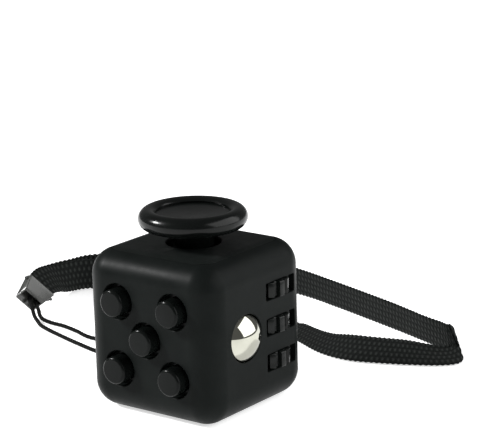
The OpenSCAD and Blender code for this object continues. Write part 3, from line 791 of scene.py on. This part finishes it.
def press_springs():
    """The springs of the buttons and of the ball's plunger."""
    for button in BUTTONS:
        node = button.replace("button", "button_spring")
        low, high = node_box(node)
        foot = front((low.x + high.x) / 2, (low.z + high.z) / 2)
        foot.translation.y = high.y
        press_spring(node, foot, high.y - low.y, radius=2.2, wire=0.3)
    low, high = node_box("ball_spring")
    foot = right((low.y + high.y) / 2, (low.z + high.z) / 2)
    foot.translation.x = low.x
    press_spring("ball_spring", foot, high.x - low.x, radius=2.4, wire=0.4)


press_springs()


def joystick():
    """Mushroom cap with a dished top, and its stem down into the cup."""
    ring_r, rim_r, z = 9.2, 2.1, 39.0
    dish_r, dish_z, sag = 7.8, 40.05, 0.6
    neck_r, root_r, drop = 4.2, 0.5, 1.5
    under_z = z - drop
    root = (neck_r + root_r, under_z - root_r)
    big_r = (dish_r * dish_r + sag * sag) / (2 * sag)
    start = degrees(atan2(under_z - z, -sqrt(rim_r ** 2 - drop ** 2))) + 360
    profile = [(0, under_z), (neck_r - 0.6, under_z)]
    profile += arc(root, root_r, 180, 90, 4)[3:]
    profile += arc((ring_r, z), rim_r, start, 360, 14)
    end = degrees(atan2(dish_z - z, dish_r + 0.15 - ring_r))
    profile += arc((ring_r, z), rim_r, 0, end, 22)[1:]
    for k in range(12):
        radius = dish_r * (1 - k / 12) * 0.985
        profile.append((radius, dish_z - sag + big_r - sqrt(big_r ** 2 - radius ** 2)))
    profile.append((0, dish_z - sag))
    stand_for(settle(lathe("stick_cap", profile, steps=160), 50), "joystick_cap")
    foot_z, foot_r, step_z, break_edge = 25, 3, 31.2, 0.2
    stem = [(0, foot_z), (foot_r - break_edge, foot_z), (foot_r, foot_z + break_edge),
            (foot_r, step_z), (neck_r - break_edge, step_z), (neck_r, step_z + break_edge),
            (neck_r, under_z - root_r)]
    stem += arc(root, root_r, 180, 90, 4)[1:]
    stem += [(neck_r + 0.4, under_z + 0.3), (0, under_z + 0.3)]
    stand_for(settle(lathe("stick_stem", stem), 50), "joystick_stem")


joystick()


def track_ball():
    """Steel ball, its poles on the X axis."""
    profile = [(0, -BALL_R)] + arc((0, 0), BALL_R, -90, 90, 48)[1:-1] + [(0, BALL_R)]
    stand_for(settle(lathe("track_ball", profile, ball_place()), 60), "ball")


track_ball()


# How far each wheel is turned at rest, in degrees
ROLLER_PHASE = {"roller_1": -5, "roller_2": -8, "roller_3": -5}


def click_roller(node):
    """Ribbed wheel: twelve ribs with rounded crests and eased ends."""
    place = ROLLERS[node]
    ribs, tip_r, rib_depth, bore_r = 12, 5.2, 0.9, 1.05
    per_rib = 16
    end_z, ease = 3.3 / 2, 0.25
    levels = [(-end_z, ease), (-end_z + 0.07, 0.1), (-end_z + ease, 0),
              (end_z - ease, 0), (end_z - 0.07, 0.1), (end_z, ease)]

    def radius(i, eased):
        wave = cos(2 * pi * i / per_rib)
        crest = max(-1, min(1, 2.6 * wave + 1.0))
        return tip_r - eased - rib_depth / 2 * (1 - sin(crest * pi / 2))

    def ring(z, radii):
        points = []
        for i, r in enumerate(radii):
            angle = 2 * pi * i / len(radii) + radians(ROLLER_PHASE[node])
            points.append(place + Vector((r * cos(angle), r * sin(angle), z)))
        return points

    count = ribs * per_rib
    bore_radii = [bore_r] * count
    rings = [ring(-end_z, bore_radii)]
    rings += [ring(z, [radius(i, eased) for i in range(count)]) for z, eased in levels]
    rings += [ring(end_z, bore_radii), ring(-end_z, bore_radii)]
    piece = loft(f"{node}_wheel", rings, closed_ends=False)
    build = bmesh.new()
    build.from_mesh(piece.data)
    bmesh.ops.remove_doubles(build, verts=build.verts, dist=1e-7)
    bmesh.ops.recalc_face_normals(build, faces=build.faces)
    build.to_mesh(piece.data)
    build.free()
    stand_for(settle(piece, 40), node)


for node in ROLLERS:
    click_roller(node)


def dial():
    """Dished disc with an eased rim, a shaft and a finger stud."""
    front_z, back_z, ease = 1.2, -0.75, 0.5
    shaft_r, shaft_end, break_edge, back_ease = 1.6, -3.9, 0.1, 0.2
    dish_rim, dish_depth, dish_r = 8.3, 0.7, 50
    profile = [(0, shaft_end), (shaft_r - break_edge, shaft_end), (shaft_r, shaft_end + break_edge),
               (shaft_r, back_z), (DIAL_R - back_ease, back_z), (DIAL_R, back_z + back_ease)]
    profile += arc((DIAL_R - ease, front_z - ease), ease, 0, 90, 6)
    for k in range(8):
        radius = dish_rim * (1 - k / 8)
        profile.append((radius, front_z - dish_depth + dish_r - sqrt(dish_r ** 2 - radius ** 2)))
    profile.append((0, front_z - dish_depth))
    place = left(0, MID_Z)
    piece = settle(lathe("dial_disc", profile, place, 160), 50)
    stud = [(0, -0.2), (2.3, -0.2), (2.3, 0.75)] + arc((2.3, 1.15), 0.4, 270, 180, 4)
    stud += arc((1.4, 2.5), 0.5, 0, 90, 5) + [(0, 3.02)]
    stud_at = 5.9
    knob = lathe("dial_stud", stud, place @ Matrix.Translation((stud_at, 0, 0)), 48)
    combine(piece, knob, "UNION", 50)
    stand_for(piece, "dial")


dial()


def rocker():
    """V-faced rocker with eased edges, tilted as it rests."""
    width, pivot_y, rest_tilt = 7.8, 12.6, radians(8)
    half_outline = [(3.7, 0), (4.4, 6.3), (2.6, 6.5), (-0.5, 3.2), (-2.2, 1.2), (-2.9, 0.5)]
    outline = half_outline + [(y, -z) for y, z in reversed(half_outline[1:])]
    place = Matrix.Translation((0, pivot_y, MID_Z)) @ Matrix.Rotation(rest_tilt, 4, "X")
    rings = [[place @ Vector((x, y, z)) for y, z in outline] for x in (-width / 2, width / 2)]
    piece = loft("rocker_key", rings)
    bevel = piece.modifiers.new("ease", "BEVEL")
    bevel.width = 0.25 * MM
    bevel.segments = 3
    settle(piece, 40)
    weighted(piece)
    stand_for(piece, "rocker")


rocker()


# ---------- floor, light ----------

def floor():
    """White sheet that glows a little, as a lit tabletop does, so that shadows on it stay faint."""
    reach, drop = 3000, 0.02
    corners = [(-reach, -reach, 0), (reach, -reach, 0), (reach, reach, 0), (-reach, reach, 0)]
    piece = solid("floor", corners, [(0, 1, 2, 3)])
    n = Nodes("floor")
    soft = n.noise(60, 2)
    piece.data.materials.append(n.set(
        Base_Color=n.mixed(n.spread(soft, 0, 1), (0.90, 0.90, 0.90), (0.93, 0.93, 0.93)),
        Roughness=0.6, Specular_IOR_Level=0.2, Emission_Color=(1, 1, 1, 1), Emission_Strength=0.62))
    piece.location.z = -drop * MM


LAMP_FAR = 2000
LAMPS_AIM = Vector((0, 0, 17))
LAMP_WATTS = 4  # for each square metre of lamp and unit of brightness


def soft_box(name, toward, size, brightness):
    """A rectangular lamp in the given direction from the cube, facing it."""
    data = bpy.data.lights.new(name, "AREA")
    data.shape = "RECTANGLE"
    data.size, data.size_y = size[0] * MM, size[1] * MM
    data.energy = LAMP_WATTS * brightness * data.size * data.size_y
    lamp = show(name, data)
    lamp.visible_camera = False
    way = Vector(toward).normalized()
    lamp.location = (way * LAMP_FAR + LAMPS_AIM) * MM
    lamp.rotation_euler = way.to_track_quat("Z", "Y").to_euler()


def studio():
    """A dim tent, a tall soft wall behind on the right and a small soft box high on the left."""
    world = bpy.data.worlds.new("studio")
    world.use_nodes = True
    background = world.node_tree.nodes["Background"]
    background.inputs["Color"].default_value = (1, 1, 1, 1)
    background.inputs["Strength"].default_value = 0.16
    bpy.context.scene.world = world
    soft_box("wall_right", (0.78, 0.40, 0.50), (2700, 1850), 2.3)
    soft_box("high_left", (-0.71, -0.46, 0.54), (340, 340), 118)
    bpy.context.scene.view_settings.view_transform = "Standard"


floor()
studio()
